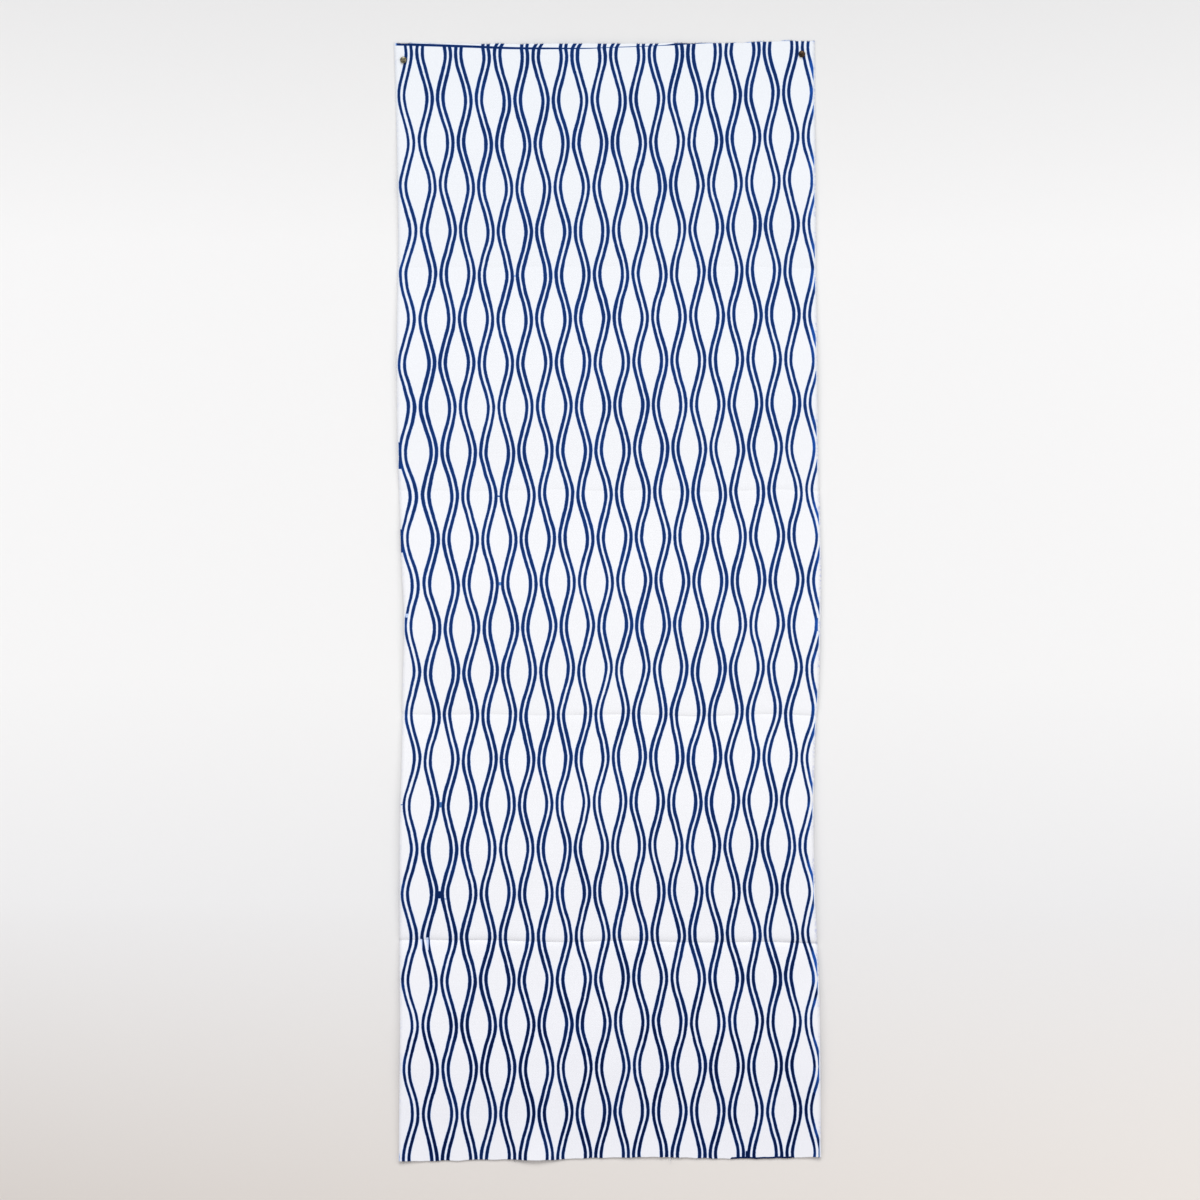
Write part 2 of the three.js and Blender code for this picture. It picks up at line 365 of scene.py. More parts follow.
# How far the print lies to the left of its regular place, and above it, along five strips down the cloth
DRIFT_STRIPS = {"edge": 6, "left": 28, "mid_left": 95, "mid_right": 210, "right": 325}
DRIFT_LEFT = [
    {"down": 40, "edge": 1.0, "left": 0.8, "mid_left": 0.4, "mid_right": 0, "right": 0.7},
    {"down": 150, "edge": 1.4, "left": -0.3, "mid_left": -0.1, "mid_right": -0.5, "right": 0.5},
    {"down": 250, "edge": 1.5, "left": -0.1, "mid_left": -0.8, "mid_right": -1.2, "right": 0.6},
    {"down": 350, "edge": 2.1, "left": -1.0, "mid_left": -1.1, "mid_right": -1.1, "right": 0.3},
    {"down": 450, "edge": 2.6, "left": 1.2, "mid_left": -0.1, "mid_right": 0, "right": 0.5},
    {"down": 560, "edge": 0.2, "left": -0.1, "mid_left": -0.6, "mid_right": 0.7, "right": 0.2},
    {"down": 660, "edge": 1.4, "left": -0.2, "mid_left": -1.5, "mid_right": 0, "right": 1.0},
    {"down": 760, "edge": 1.4, "left": 0.8, "mid_left": -0.2, "mid_right": 0, "right": 0.7},
    {"down": 850, "edge": 0, "left": -0.4, "mid_left": -0.8, "mid_right": 0.4, "right": 1.0},
]
DRIFT_UP = [
    {"down": 40, "edge": 1.3, "left": 1.0, "mid_left": -1.0, "mid_right": -0.1, "right": 0.9},
    {"down": 150, "edge": 0.4, "left": 2.1, "mid_left": 0.4, "mid_right": 1.2, "right": 2.7},
    {"down": 250, "edge": 0.2, "left": 0.8, "mid_left": 0.7, "mid_right": 2.0, "right": 1.1},
    {"down": 350, "edge": -0.6, "left": 0.3, "mid_left": 0, "mid_right": 1.8, "right": 0.1},
    {"down": 450, "edge": 0.9, "left": -0.5, "mid_left": 0.8, "mid_right": 2.2, "right": 0.3},
    {"down": 560, "edge": 0.9, "left": 0.8, "mid_left": 0.9, "mid_right": 2.5, "right": 0.7},
    {"down": 660, "edge": -0.8, "left": -1.1, "mid_left": -0.1, "mid_right": 1.5, "right": 1.2},
    {"down": 760, "edge": -0.2, "left": -1.1, "mid_left": 0, "mid_right": 1.3, "right": 0.9},
    {"down": 810, "edge": 1.9, "left": 0.4, "mid_left": 1.1, "mid_right": 1.2, "right": 0.8},
    {"down": 850, "edge": 2.4, "left": 0.7, "mid_left": 0.5, "mid_right": 0.2, "right": -0.2},
]
# The stencil's line near the top end: its depth below the cut edge, and its half width
TOP_LINE = [
    {"across": 0, "depth": 0.9, "half_width": 1.05},
    {"across": 18, "depth": 1.1, "half_width": 1.05},
    {"across": 65, "depth": 2.3, "half_width": 1.0},
    {"across": 93, "depth": 3.3, "half_width": 0.92},
    {"across": 130, "depth": 3.7, "half_width": 0.7},
    {"across": 158, "depth": 3.7, "half_width": 0.4},
    {"across": 175, "depth": 3.0, "half_width": 0.28},
    {"across": 203, "depth": 2.2, "half_width": 0.3},
    {"across": 219, "depth": 1.5, "half_width": 0.3},
    {"across": 227, "depth": 0.8, "half_width": 0.8},
    {"across": 240, "depth": 0.3, "half_width": 0.4},
    {"across": 256, "depth": 0, "half_width": 0.1},
    {"across": 340, "depth": 0, "half_width": 0.1},
]
# The bottom end was cut along the stencil's lower line, which shows between these distances across
BOTTOM_LINE = {"from": 268, "to": 318}


def drift(rows, across, down):
    """The value of a drift table at a place of the flat cloth, on smooth curves through its strips"""
    found = []
    for strip, place in DRIFT_STRIPS.items():
        found.append({"across": place, "drift": curve_through(rows, "down", strip, down)})
    return curve_through(found, "across", "drift", across)


def print_place(across, down):
    """Where a point of the flat cloth lies in the print, counted in repeats across and down"""
    share = down / FLAT_LENGTH
    sideways = across + (across - NARROWING_CENTRE) * NARROWING * share - FIRST_AXIS
    sideways += drift(DRIFT_LEFT, across, down) + stray(SIDEWAYS_TREMBLE, across, down, 41)
    above_line = curve_through(TOP_LINE, "across", "depth", across) - down
    sideways -= max(above_line, 0) * ABOVE_LINE_LEAN
    bow = ROW_BOW * math.sin(math.pi * across / FLAT_WIDTH) * (1 - share)
    lean = ROW_LEAN * across / FLAT_WIDTH
    rows_down = down - FIRST_NECK - bow + lean + drift(DRIFT_UP, across, down)
    return (sideways / COLUMN_PERIOD, rows_down / ROW_PERIOD)


def end_line_place(across, down):
    """Millimetres below the top line, that line's half width, and millimetres above the bottom line.
    The top line is straight where the cut end strays."""
    top = down - curve_through(TOP_LINE, "across", "depth", across) + stray(CUT_STRAY, across, 0, 1)
    half_width = curve_through(TOP_LINE, "across", "half_width", across)
    beside = max(BOTTOM_LINE["from"] - across, across - BOTTOM_LINE["to"], 0)
    return Vector((top, half_width, row_depths[-1] - down + beside))


for mesh, places in ((cloth_mesh, flat_places), (thread_mesh, thread_places)):
    cloth_uv = mesh.loops.layers.uv.new("cloth")
    print_uv = mesh.loops.layers.uv.new("print")
    end_lines = mesh.verts.layers.float_vector.new("end_lines")
    mesh.verts.index_update()
    prints = [print_place(*place) for place in places]
    for vert, place in zip(mesh.verts, places):
        vert[end_lines] = end_line_place(*place)
    for face in mesh.faces:
        face.smooth = True
        for loop in face.loops:
            loop[cloth_uv].uv = places[loop.vert.index]
            loop[print_uv].uv = prints[loop.vert.index]

# Towel: bleached cotton and indigo dye
# Plain-weave cotton, bleached and washed, dull, with threads that swell and thin along their length. The dye
# goes through the cloth, so both faces show it. Each line has a paler blue rim, and near the selvedges the
# dye ran thin, which leaves a brighter blue and a pale violet bloom.
COTTON_WHITE = "#F8F9FD"
COTTON_COOL = "#F2F6FC"
# The low tone is painted shade, darker towards the bottom where the light falls off
COTTON_LOW_SHADE = "#F2F3FA"
DYE_NAVY = "#12306A"
DYE_DEEP = "#021340"
DYE_RIM = "#6AA4F2"
DYE_THIN = "#1B4FA6"
DYE_BLOOM = "#C9D0EE"
# How far a pair of lines swings to each side, and the share of a third wave that sharpens its bends
SWING = 3.41
SWING_POINT = 0.026
# A line's distance from the middle of its pair, its half width, and half the width of its soft rim
LINE_SPREAD = 2.18
LINE_HALF_WIDTH = 1.4
LINE_SOFTNESS = 0.35
# The dye spread more in some places than in others, and its rim follows the threads
LINE_SWELLS = [
    {"size": 0.5, "length": 45, "detail": 1},
    {"size": 0.3, "length": 6, "detail": 1},
    {"size": 0.2, "length": 1.4, "detail": 0},
]
# The lines narrow towards the selvedges, from 24 to 6 mm inside them
EDGE_NARROWING = {"from": 24, "to": 6, "by": 0.2}
# The lines fade out this far above the top line, and from these distances across they run past it
TOP_LINE_OVERRUN = 0.6
OVERRUN_ACROSS = (66, 70)
# Where the top line starts and is whole, its soft rim, and the heights at which the bottom line fades in
TOP_LINE_START = (0.8, 2.6)
TOP_LINE_SOFTNESS = 0.2
BOTTOM_LINE_HEIGHTS = (1.5, 1.1)
# The bare rim of each selvedge: where the print starts, and where it is whole
BARE_RIM_LEFT = (0.4, 0.9)
BARE_RIM_RIGHT = (0.8, 1.6)
SPOT_SOFTNESS = 0.25
# Spots where the stencil let dye through or lay askew. Each is at a column and row of the print's repeat,
# with an offset to the right and down from there, its width and height, and how strong the dye is.
MARKS = [
    {"column": 0.5, "row": 9.5, "right": 0, "down": 0.6, "width": 3.6, "height": 6, "strength": 1},
    {"column": 0.5, "row": 9.5, "right": 4.3, "down": 4, "width": 2.2, "height": 0.6, "strength": 0.9},
    {"column": 0.5, "row": 8.5, "right": 0, "down": 0, "width": 2.6, "height": 4.4, "strength": 0.75},
    {"column": 2.5, "row": 2.5, "right": 0, "down": 0, "width": 2.4, "height": 1.4, "strength": 0.45},
    {"column": 2, "row": 5, "right": 0, "down": 0, "width": 2.4, "height": 1.3, "strength": 0.9},
    {"column": 2, "row": 6, "right": 0, "down": 0, "width": 2.4, "height": 2.8, "strength": 0.6},
    {"column": 2, "row": 8, "right": 4.4, "down": 0, "width": 2.6, "height": 0.6, "strength": 0.75},
    {"column": -0.5, "row": 8.5, "right": 0.6, "down": 0, "width": 2.4, "height": 0.7, "strength": 0.85},
    {"column": -0.5, "row": 4.5, "right": 2.3, "down": 2.7, "width": 2.3, "height": 21.4, "strength": 1},
    {"column": -0.5, "row": 5.5, "right": 1.9, "down": 1.1, "width": 2.3, "height": 19, "strength": 1},
    {"column": 8.5, "row": 12.5, "right": 0.8, "down": 0, "width": 2.2, "height": 6, "strength": 1},
    {"column": 10, "row": 6.5, "right": 9.3, "down": -0.1, "width": 2.6, "height": 10.5, "strength": 0.9},
]
# Spots below the lowest crease and at the left selvedge where less dye went through
THIN_SPOTS = [
    {"column": 0, "row": 10, "right": 1.3, "down": 5.2, "width": 1.6, "height": 8, "strength": 0.75},
    {"column": 0, "row": 10, "right": 6.1, "down": 5, "width": 1.9, "height": 10.6, "strength": 0.75},
    {"column": -0.5, "row": 6.5, "right": 3.5, "down": -9.2, "width": 2.6, "height": 3.2, "strength": 0.7},
]
# The dye is thinner in patches near the selvedges, less so on the left, and mildly so everywhere
SELVEDGE_REACH = 3.5
SELVEDGE_FADE = 3
LEFT_THINNESS = 0.3
PATCH_LENGTH = 28
EDGE_PATCH_LEVELS = (0.42, 0.6)
MILD_PATCH_LEVELS = (0.4, 0.75)
MILD_THINNESS = 0.12
# How far down the cloth the dye turns deeper, and how far up towards the top end, where it does so less
DEEP_BELOW = (470, 820)
DEEP_ABOVE = (130, 0)
DEEP_SHARE_ABOVE = 0.3
# How far down the cloth the cotton is cool, and where it turns to its low tone, which is painted
# shade for the light falling off towards the bottom
COOL_ABOVE = 430
LOW_SHADE_BELOW = (560, 860)
# The violet bloom: its spots' size, and how far inside the selvedges it starts and is full
BLOOM_LENGTH = 2.5
BLOOM_LEVELS = (0.45, 0.62)
BLOOM_REACH = (2.6, 1.2)
BLOOM_SHARE = 0.7
# The amounts of dye at which the rim's colour is full, and at which the line's own colour starts
RIM_FULL = 0.6
CORE_START = 0.35


def linear(hex_colour):
    """An sRGB hex colour as the linear red, green, blue and alpha that a shader takes"""
    parts = [int(hex_colour[k : k + 2], 16) / 255 for k in (1, 3, 5)]
    return [c / 12.92 if c <= 0.04045 else ((c + 0.055) / 1.055) ** 2.4 for c in parts] + [1]


def add_node(tree, kind, *values, **settings):
    """Adds a node and returns its outputs. The values fill its inputs in order: numbers, or other outputs."""
    made = tree.nodes.new("ShaderNode" + kind)
    for name, setting in settings.items():
        setattr(made, name, setting)
    open_inputs = [socket for socket in made.inputs if socket.enabled]
    for socket, value in zip(open_inputs, values):
        if isinstance(value, bpy.types.NodeSocket):
            tree.links.new(value, socket)
        else:
            socket.default_value = value
    return [socket for socket in made.outputs if socket.enabled]


cotton = bpy.data.materials.new("indigo_dyed_cotton")
cotton.use_nodes = True
tree = cotton.node_tree
shader = tree.nodes["Principled BSDF"]
shader.inputs["Roughness"].default_value = 0.93
shader.inputs["Specular IOR Level"].default_value = 0.06
shader.inputs["Sheen Weight"].default_value = 0.02

cloth_place = add_node(tree, "UVMap", uv_map="cloth")[0]
across, down, _ = add_node(tree, "SeparateXYZ", cloth_place)
repeat_place = add_node(tree, "UVMap", uv_map="print")[0]
repeat_mm = (COLUMN_PERIOD, ROW_PERIOD, 0)
print_mm = add_node(tree, "VectorMath", repeat_place, repeat_mm, operation="MULTIPLY")[0]
column_mm, row_mm, _ = add_node(tree, "SeparateXYZ", print_mm)

# Distance from the middle of the nearest line: fold the repeat about its axis, then about a pair of lines,
# then about a line
to_axis = add_node(tree, "Math", column_mm, COLUMN_PERIOD / 2, operation="PINGPONG")[0]
turn = add_node(tree, "Math", row_mm, 2 * math.pi / ROW_PERIOD, operation="MULTIPLY")[0]
swing = add_node(tree, "Math", turn, operation="COSINE")[0]
third_turn = add_node(tree, "Math", turn, 3, operation="MULTIPLY")[0]
point = add_node(tree, "Math", third_turn, operation="COSINE")[0]
swing = add_node(tree, "Math", point, SWING_POINT, swing, operation="MULTIPLY_ADD")[0]
pair = add_node(tree, "Math", swing, -SWING, COLUMN_PERIOD / 4, operation="MULTIPLY_ADD")[0]
from_pair = add_node(tree, "Math", to_axis, pair, operation="SUBTRACT")[0]
from_pair = add_node(tree, "Math", from_pair, operation="ABSOLUTE")[0]
from_line = add_node(tree, "Math", from_pair, LINE_SPREAD, operation="SUBTRACT")[0]
from_line = add_node(tree, "Math", from_line, operation="ABSOLUTE")[0]

# The line's half width swells and shrinks about its usual value, and is less near the selvedges
half_width = LINE_HALF_WIDTH - sum(swell["size"] for swell in LINE_SWELLS) / 2
for swell in LINE_SWELLS:
    noise_scale = 1 / swell["length"]
    swelling = add_node(tree, "TexNoise", cloth_place, noise_scale, swell["detail"], noise_dimensions="2D")[0]
    half_width = add_node(tree, "Math", swelling, swell["size"], half_width, operation="MULTIPLY_ADD")[0]
from_middle = add_node(tree, "Math", across, FLAT_WIDTH / 2, operation="SUBTRACT")[0]
from_middle = add_node(tree, "Math", from_middle, operation="ABSOLUTE")[0]
narrow_from = FLAT_WIDTH / 2 - EDGE_NARROWING["from"]
narrow_to = FLAT_WIDTH / 2 - EDGE_NARROWING["to"]
narrower = add_node(tree, "MapRange", from_middle, narrow_from, narrow_to, 0, EDGE_NARROWING["by"])[0]
half_width = add_node(tree, "Math", half_width, narrower, operation="SUBTRACT")[0]
rim_start = add_node(tree, "Math", half_width, LINE_SOFTNESS, operation="ADD")[0]
rim_end = add_node(tree, "Math", half_width, LINE_SOFTNESS, operation="SUBTRACT")[0]
smooth = {"interpolation_type": "SMOOTHSTEP"}
lines = add_node(tree, "MapRange", from_line, rim_start, rim_end, 0, 1, **smooth)[0]

# The lines stop at the stencil's top line on the left, and run past it farther right
end_lines = add_node(tree, "Attribute", attribute_name="end_lines")[1]
below_top_line, top_half_width, above_bottom = add_node(tree, "SeparateXYZ", end_lines)
under = add_node(tree, "MapRange", below_top_line, -TOP_LINE_OVERRUN, 0, 0, 1)[0]
past = add_node(tree, "MapRange", across, *OVERRUN_ACROSS, 0, 1)[0]
printed = add_node(tree, "Math", under, past, operation="MAXIMUM")[0]
inside = add_node(tree, "MapRange", across, *BARE_RIM_LEFT, 0, 1)[0]
printed = add_node(tree, "Math", printed, inside, operation="MULTIPLY")[0]
rim_right = [FLAT_WIDTH - distance for distance in BARE_RIM_RIGHT]
inside = add_node(tree, "MapRange", across, *rim_right, 0, 1)[0]
printed = add_node(tree, "Math", printed, inside, operation="MULTIPLY")[0]
ink = add_node(tree, "Math", lines, printed, operation="MULTIPLY")[0]
from_top_line = add_node(tree, "Math", below_top_line, operation="ABSOLUTE")[0]
from_top_line = add_node(tree, "Math", from_top_line, top_half_width, operation="SUBTRACT")[0]
line_rim = (TOP_LINE_SOFTNESS, -TOP_LINE_SOFTNESS)
top_line = add_node(tree, "MapRange", from_top_line, *line_rim, 0, 1, **smooth)[0]
line_start = add_node(tree, "MapRange", across, *TOP_LINE_START, 0, 1)[0]
top_line = add_node(tree, "Math", top_line, line_start, operation="MULTIPLY")[0]
ink = add_node(tree, "Math", ink, top_line, operation="MAXIMUM")[0]
bottom_line = add_node(tree, "MapRange", above_bottom, *BOTTOM_LINE_HEIGHTS, 0, 1, **smooth)[0]
ink = add_node(tree, "Math", ink, bottom_line, operation="MAXIMUM")[0]
spot_rim = (SPOT_SOFTNESS, -SPOT_SOFTNESS)
for mark in MARKS + THIN_SPOTS:
    spot = (mark["column"] * COLUMN_PERIOD + mark["right"], mark["row"] * ROW_PERIOD + mark["down"], 0)
    offset = add_node(tree, "VectorMath", print_mm, spot, operation="SUBTRACT")[0]
    offset = add_node(tree, "VectorMath", offset, operation="ABSOLUTE")[0]
    half_size = (mark["width"] / 2, mark["height"] / 2, 0)
    offset = add_node(tree, "VectorMath", offset, half_size, operation="SUBTRACT")[0]
    beside, beyond, _ = add_node(tree, "SeparateXYZ", offset)
    outside = add_node(tree, "Math", beside, beyond, operation="MAXIMUM")[0]
    spot_ink = add_node(tree, "MapRange", outside, *spot_rim, 0, mark["strength"], **smooth)[0]
    if mark in MARKS:
        ink = add_node(tree, "Math", ink, spot_ink, operation="MAXIMUM")[0]
    else:
        kept = add_node(tree, "Math", 1, spot_ink, operation="SUBTRACT")[0]
        ink = add_node(tree, "Math", ink, kept, operation="MULTIPLY")[0]

# Towards both selvedges the dye is thinner in patches
reach_start = FLAT_WIDTH / 2 - SELVEDGE_REACH
near_edge = add_node(tree, "MapRange", from_middle, reach_start - SELVEDGE_FADE, reach_start, 0, 1)[0]
patches = add_node(tree, "TexNoise", cloth_place, 1 / PATCH_LENGTH, 2, noise_dimensions="2D")[0]
edge_patches = add_node(tree, "MapRange", patches, *EDGE_PATCH_LEVELS, 0, 1)[0]
edge_patches = add_node(tree, "Math", edge_patches, near_edge, operation="MULTIPLY")[0]
by_side = add_node(tree, "MapRange", across, 0, FLAT_WIDTH, LEFT_THINNESS, 1)[0]
edge_patches = add_node(tree, "Math", edge_patches, by_side, operation="MULTIPLY")[0]
mild = add_node(tree, "MapRange", patches, *MILD_PATCH_LEVELS, 0, MILD_THINNESS)[0]
thinness = add_node(tree, "Math", edge_patches, mild, operation="MAXIMUM")[0]
deep_low = add_node(tree, "MapRange", down, *DEEP_BELOW, 0, 1)[0]
deep_high = add_node(tree, "MapRange", down, *DEEP_ABOVE, 0, DEEP_SHARE_ABOVE)[0]
deep = add_node(tree, "Math", deep_low, deep_high, operation="MAXIMUM")[0]
dye = add_node(tree, "Mix", deep, linear(DYE_NAVY), linear(DYE_DEEP), data_type="RGBA")[0]
dye = add_node(tree, "Mix", thinness, dye, linear(DYE_THIN), data_type="RGBA")[0]
cool = add_node(tree, "MapRange", down, 0, COOL_ABOVE, 1, 0)[0]
white = add_node(tree, "Mix", cool, linear(COTTON_WHITE), linear(COTTON_COOL), data_type="RGBA")[0]
# Painted shade: the cotton turns to its darker low tone towards the bottom, where the light falls off
low = add_node(tree, "MapRange", down, *LOW_SHADE_BELOW, 0, 1)[0]
white = add_node(tree, "Mix", low, white, linear(COTTON_LOW_SHADE), data_type="RGBA")[0]
bloom_spots = add_node(tree, "TexNoise", cloth_place, 1 / BLOOM_LENGTH, 2, noise_dimensions="2D")[0]
bloom_spots = add_node(tree, "MapRange", bloom_spots, *BLOOM_LEVELS, 0, 1)[0]
bloom_reach = [FLAT_WIDTH / 2 - distance for distance in BLOOM_REACH]
at_rim = add_node(tree, "MapRange", from_middle, *bloom_reach, 0, BLOOM_SHARE)[0]
bloom = add_node(tree, "Math", bloom_spots, at_rim, operation="MULTIPLY")[0]
bloom = add_node(tree, "Math", bloom, edge_patches, operation="MULTIPLY")[0]
white = add_node(tree, "Mix", bloom, white, linear(DYE_BLOOM), data_type="RGBA")[0]
rim_share = add_node(tree, "MapRange", ink, 0, RIM_FULL, 0, 1)[0]
core_share = add_node(tree, "MapRange", ink, CORE_START, 1, 0, 1)[0]
rim_colour = add_node(tree, "Mix", rim_share, white, linear(DYE_RIM), data_type="RGBA")[0]
colour = add_node(tree, "Mix", core_share, rim_colour, dye, data_type="RGBA")[0]
tree.links.new(colour, shader.inputs["Base Color"])

# The weave has a thread every 0.55 mm. It is drawn at twice that pitch, because it would not show otherwise.
WEAVE_PITCH = 2 * THREAD_PITCH
WEAVE_HEIGHT = 0.02 * MM
SLUB_LENGTHS = [(22, 1.3), (1.3, 22)]
SLUB_HEIGHT = 0.05 * MM
warp = add_node(tree, "Math", across, math.pi / WEAVE_PITCH, operation="MULTIPLY")[0]
warp = add_node(tree, "Math", warp, operation="SINE")[0]
weft = add_node(tree, "Math", down, math.pi / WEAVE_PITCH, operation="MULTIPLY")[0]
weft = add_node(tree, "Math", weft, operation="SINE")[0]
weave = add_node(tree, "Math", warp, weft, operation="MULTIPLY")[0]
height = add_node(tree, "Math", weave, WEAVE_HEIGHT, operation="MULTIPLY")[0]
for length in SLUB_LENGTHS:
    stretched = (1 / length[0], 1 / length[1], 0)
    slub_place = add_node(tree, "VectorMath", cloth_place, stretched, operation="MULTIPLY")[0]
    slub = add_node(tree, "TexNoise", slub_place, 1, 1, noise_dimensions="2D")[0]
    height = add_node(tree, "Math", slub, SLUB_HEIGHT, height, operation="MULTIPLY_ADD")[0]
relief = tree.nodes.new("ShaderNodeBump")
relief.inputs["Distance"].default_value = 1
relief.inputs["Strength"].default_value = 1
tree.links.new(height, relief.inputs["Height"])
tree.links.new(relief.outputs[0], shader.inputs["Normal"])

for name, mesh in (("towel_cloth", cloth_mesh), ("cut_end_threads", thread_mesh)):
    data = bpy.data.meshes.new(name)
    mesh.to_mesh(data)
    mesh.free()
    data.materials.append(cotton)
    piece = bpy.data.objects.new(name, data)
    bpy.context.collection.objects.link(piece)
    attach(piece, "root")
    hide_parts("towel")
towel = bpy.data.objects["towel_cloth"]
body = towel.modifiers.new("cloth thickness", "SOLIDIFY")
body.thickness = CLOTH_THICKNESS * MM
body.offset = 0

# Wall pins
# Two small round-headed pins of turned brass, dulled and stained with age, pushed through the top corners of
# the cloth into the wall. The head is a low dome on a thin pointed shank, and it presses on the cloth.
PIN_HEAD_RADIUS = 2.7
PIN_HEAD_TOP = 3.0
PIN_DOME_RISE = 1.1
PIN_RIM_BEVEL = 0.2
PIN_SHANK_RADIUS = 0.55
PIN_DEPTH_IN_WALL = 9
PIN_POINT_LENGTH = 2.5
PIN_SEGMENTS = 48
PIN_DOME_STEPS = 8
# The patches of stain, and how dull the metal is without it and under it
STAIN_SIZE = 1.2
STAIN_LEVELS = (0.4, 0.65)
CLEAN_ROUGHNESS = 0.38
STAINED_ROUGHNESS = 0.62
# The fine scratches in the metal
SCRATCH_SIZE = 0.25
SCRATCH_DEPTH = 0.03
CLOTH_FACE = SOLID_THICKNESS / 2 + CLOTH_THICKNESS / 2
PINS = [
    {"name": "pin_left", "spot": PINNED_SPOTS[0], "metal": "#9C957C", "stain": "#4E4A3C"},
    {"name": "pin_right", "spot": PINNED_SPOTS[1], "metal": "#5C4A3A", "stain": "#211B16"},
]

for pin in PINS:
    profile = [(0, PIN_DEPTH_IN_WALL), (PIN_SHANK_RADIUS, PIN_DEPTH_IN_WALL - PIN_POINT_LENGTH)]
    profile.append((PIN_SHANK_RADIUS, -CLOTH_FACE))
    profile.append((PIN_HEAD_RADIUS - PIN_RIM_BEVEL, -CLOTH_FACE))
    profile.append((PIN_HEAD_RADIUS, -CLOTH_FACE - PIN_RIM_BEVEL))
    rim_height = PIN_HEAD_TOP - PIN_DOME_RISE
    for step in range(PIN_DOME_STEPS + 1):
        angle = math.pi / 2 * step / PIN_DOME_STEPS
        radius = PIN_HEAD_RADIUS * math.cos(angle)
        profile.append((radius, -rim_height - PIN_DOME_RISE * math.sin(angle)))
    pin_mesh = bmesh.new()
    verts = [pin_mesh.verts.new((radius * MM, y * MM, 0)) for radius, y in profile]
    edges = [pin_mesh.edges.new(ends) for ends in zip(verts, verts[1:])]
    bmesh.ops.spin(
        pin_mesh,
        geom=verts + edges,
        axis=(0, 1, 0),
        cent=(0, 0, 0),
        angle=2 * math.pi,
        steps=PIN_SEGMENTS,
        use_merge=True,
    )
    bmesh.ops.remove_doubles(pin_mesh, verts=pin_mesh.verts, dist=0.001 * MM)
    bmesh.ops.recalc_face_normals(pin_mesh, faces=pin_mesh.faces)
    place = Vector((pin["spot"]["x"] * MM, 0, -pin["spot"]["below"] * MM))
    bmesh.ops.translate(pin_mesh, vec=place, verts=pin_mesh.verts)
    for face in pin_mesh.faces:
        face.smooth = True
    pin_data = bpy.data.meshes.new(pin["name"] + "_brass")
    pin_mesh.to_mesh(pin_data)
    pin_mesh.free()
    piece = bpy.data.objects.new(pin["name"] + "_brass", pin_data)
    bpy.context.collection.objects.link(piece)

    # Aged brass: a dull metal with brown stain in patches a millimetre wide, and fine scratches
    brass = bpy.data.materials.new(pin["name"] + "_aged_brass")
    brass.use_nodes = True
    tree = brass.node_tree
    shader = tree.nodes["Principled BSDF"]
    shader.inputs["Metallic"].default_value = 1
    object_place = add_node(tree, "TexCoord")[3]
    patches = add_node(tree, "TexNoise", object_place, 1 / (STAIN_SIZE * MM), 3)[0]
    stain = add_node(tree, "MapRange", patches, *STAIN_LEVELS, 0, 1)[0]
    mix = add_node(tree, "Mix", stain, linear(pin["metal"]), linear(pin["stain"]), data_type="RGBA")[0]
    tree.links.new(mix, shader.inputs["Base Color"])
    dullness = add_node(tree, "MapRange", stain, 0, 1, CLEAN_ROUGHNESS, STAINED_ROUGHNESS)[0]
    tree.links.new(dullness, shader.inputs["Roughness"])
    scratches = add_node(tree, "TexNoise", object_place, 1 / (SCRATCH_SIZE * MM), 2)[0]
    relief = tree.nodes.new("ShaderNodeBump")
    relief.inputs["Distance"].default_value = SCRATCH_DEPTH * MM
    relief.inputs["Strength"].default_value = 0.6
    tree.links.new(scratches, relief.inputs["Height"])
    tree.links.new(relief.outputs[0], shader.inputs["Normal"])
    pin_data.materials.append(brass)
    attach(piece, "root")
    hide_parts(pin["name"])

# Studio
# A pale wall with painted shade low down and at the top stands just behind the cloth, and a pale floor lies
# below it. Two wide soft lamps stand at the sides, a softer light falls from high in front, and the pale room
# glows. From behind, the wall is clear.
WALL_GREY = "#F7F7F7"
# The top, middle and low greys are painted shade, darker where the light falls off
WALL_TOP_SHADE_GREY = "#EAEAEA"
WALL_MIDDLE_SHADE_GREY = "#EEEEEF"
WALL_LOW_LEFT_SHADE_GREY = "#D3CBC4"
WALL_LOW_RIGHT_SHADE_GREY = "#EFE8E1"
# The heights, in metres, over which the wall turns to its low, middle and top tones, which are painted
# shade, and the distances across it over which the low tone turns from its left one to its right one
WALL_LOW_SHADE_HEIGHTS = (-0.68, -1)
WALL_MIDDLE_SHADE_HEIGHTS = (-0.5, -0.7)
WALL_TOP_SHADE_HEIGHTS = (-0.15, 0.06)
WALL_LOW_SHADE_ACROSS = (-0.5, 0.5)
FLOOR_GREY = "#DCD9D6"
FLOOR_HEIGHT = -1.35
STAGE_HALF = 3.0
LAMP_POWER = 6.0
LAMP_SIDE = 1.1
LAMP_AIM = Vector((0, 0, -0.35))
LAMPS = [
    {"name": "lamp_left", "place": (-1.15, -1.35, 0)},
    {"name": "lamp_right", "place": (1.15, -1.35, 0)},
]
HIGH_LIGHT_STRENGTH = 1.5
HIGH_LIGHT_TILT = 42
HIGH_LIGHT_SPREAD = 30
ROOM_GREY = "#F7F7F9"
ROOM_GLOW = 0.381

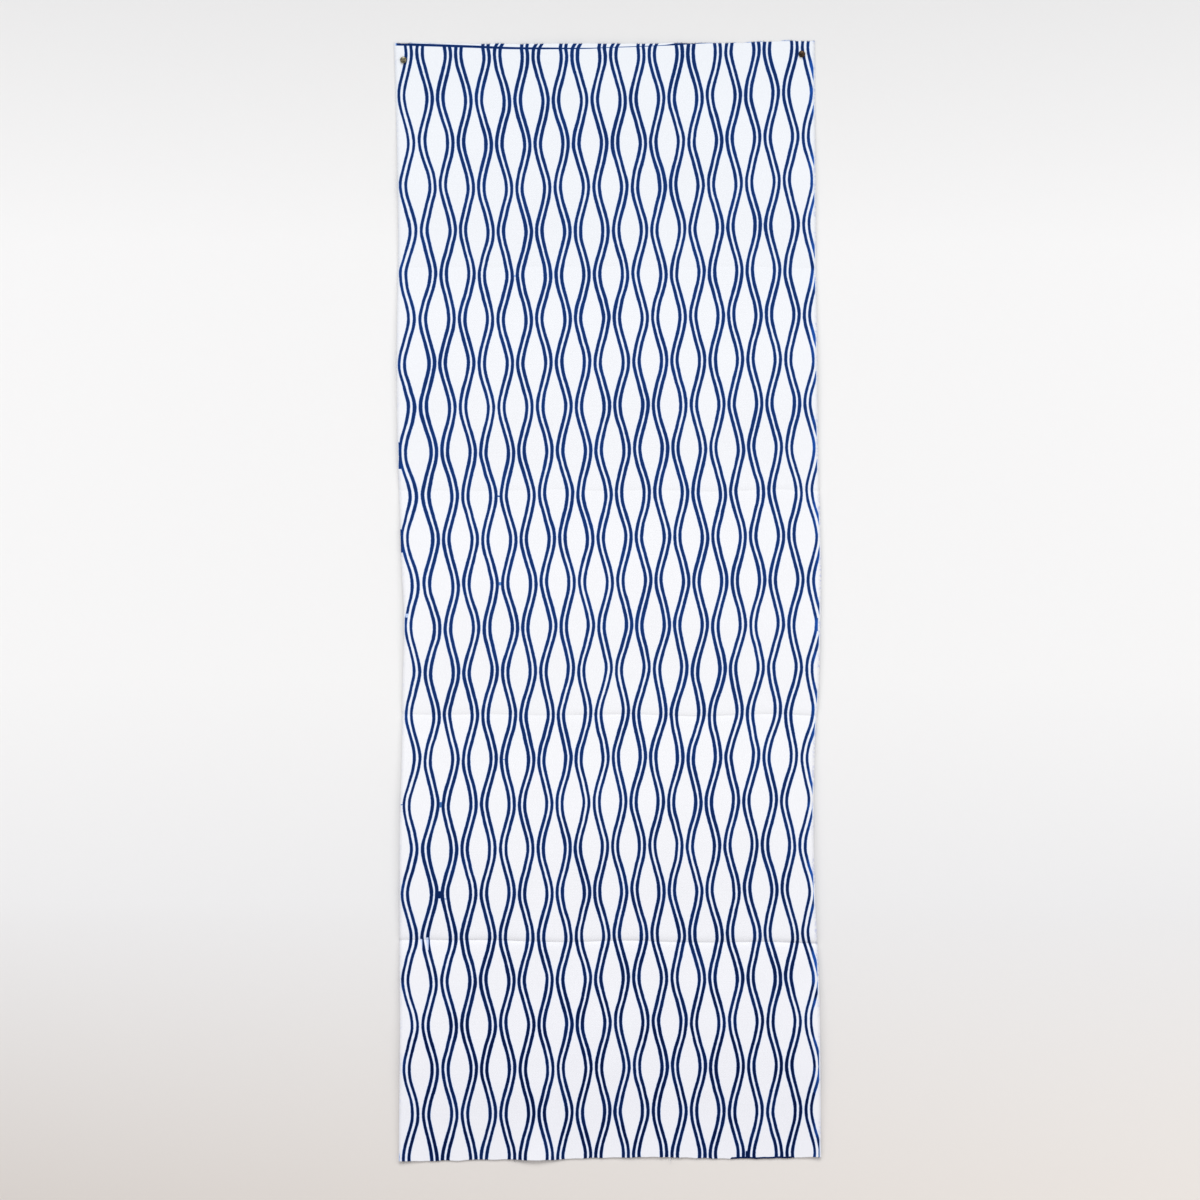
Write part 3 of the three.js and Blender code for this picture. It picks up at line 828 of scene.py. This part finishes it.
wall_mesh = bmesh.new()
bmesh.ops.create_grid(wall_mesh, x_segments=1, y_segments=1, size=STAGE_HALF)
bmesh.ops.transform(wall_mesh, matrix=Matrix.Rotation(math.radians(90), 4, "X"), verts=wall_mesh.verts)
floor_mesh = bmesh.new()
bmesh.ops.create_grid(floor_mesh, x_segments=1, y_segments=1, size=STAGE_HALF)
bmesh.ops.translate(floor_mesh, vec=(0, 0, FLOOR_HEIGHT), verts=floor_mesh.verts)
for name, mesh in (("wall", wall_mesh), ("floor", floor_mesh)):
    data = bpy.data.meshes.new(name)
    mesh.to_mesh(data)
    mesh.free()
    paint = bpy.data.materials.new(name + "_paint")
    paint.use_nodes = True
    paint.node_tree.nodes["Principled BSDF"].inputs["Roughness"].default_value = 1
    paint.node_tree.nodes["Principled BSDF"].inputs["Specular IOR Level"].default_value = 0
    paint.node_tree.nodes["Principled BSDF"].inputs["Base Color"].default_value = linear(FLOOR_GREY)
    data.materials.append(paint)
    stage_piece = bpy.data.objects.new(name, data)
    bpy.context.collection.objects.link(stage_piece)
# The wall neither shades the cloth nor throws light back on it
wall = bpy.data.objects["wall"]
wall.visible_shadow = False
wall.visible_diffuse = False

# The wall's tone is painted darker towards the floor and above the cloth, a painted shade for the light
# falling off, and from behind the wall is clear
tree = bpy.data.materials["wall_paint"].node_tree
shader = tree.nodes["Principled BSDF"]
wall_place = add_node(tree, "TexCoord")[3]
wall_x, _, wall_z = add_node(tree, "SeparateXYZ", wall_place)
low = add_node(tree, "MapRange", wall_z, *WALL_LOW_SHADE_HEIGHTS, 0, 1)[0]
right = add_node(tree, "MapRange", wall_x, *WALL_LOW_SHADE_ACROSS, 0, 1)[0]
low_shade_greys = (linear(WALL_LOW_LEFT_SHADE_GREY), linear(WALL_LOW_RIGHT_SHADE_GREY))
low_shade_tone = add_node(tree, "Mix", right, *low_shade_greys, data_type="RGBA")[0]
middle = add_node(tree, "MapRange", wall_z, *WALL_MIDDLE_SHADE_HEIGHTS, 0, 1)[0]
tone = add_node(tree, "Mix", middle, linear(WALL_GREY), linear(WALL_MIDDLE_SHADE_GREY), data_type="RGBA")[0]
tone = add_node(tree, "Mix", low, tone, low_shade_tone, data_type="RGBA")[0]
high = add_node(tree, "MapRange", wall_z, *WALL_TOP_SHADE_HEIGHTS, 0, 1)[0]
tone = add_node(tree, "Mix", high, tone, linear(WALL_TOP_SHADE_GREY), data_type="RGBA")[0]
tree.links.new(tone, shader.inputs["Base Color"])
clear = add_node(tree, "BsdfTransparent")[0]
behind = tree.nodes.new("ShaderNodeNewGeometry").outputs["Backfacing"]
one_sided = add_node(tree, "MixShader", behind, shader.outputs[0], clear)[0]
tree.links.new(one_sided, tree.nodes["Material Output"].inputs["Surface"])

for lamp in LAMPS:
    lamp_data = bpy.data.lights.new(lamp["name"], "AREA")
    lamp_data.shape = "SQUARE"
    lamp_data.size = LAMP_SIDE
    lamp_data.energy = LAMP_POWER
    lamp_object = bpy.data.objects.new(lamp["name"], lamp_data)
    bpy.context.collection.objects.link(lamp_object)
    lamp_object.location = lamp["place"]
    lamp_object.rotation_euler = (LAMP_AIM - Vector(lamp["place"])).to_track_quat("-Z", "Y").to_euler()
high_data = bpy.data.lights.new("high_light", "SUN")
high_data.energy = HIGH_LIGHT_STRENGTH
high_data.angle = math.radians(HIGH_LIGHT_SPREAD)
high_light = bpy.data.objects.new("high_light", high_data)
bpy.context.collection.objects.link(high_light)
high_light.rotation_euler = (math.radians(HIGH_LIGHT_TILT), 0, 0)

room = bpy.data.worlds.new("pale_room")
room.use_nodes = True
room.node_tree.nodes["Background"].inputs["Color"].default_value = linear(ROOM_GREY)
room.node_tree.nodes["Background"].inputs["Strength"].default_value = ROOM_GLOW
bpy.context.scene.world = room
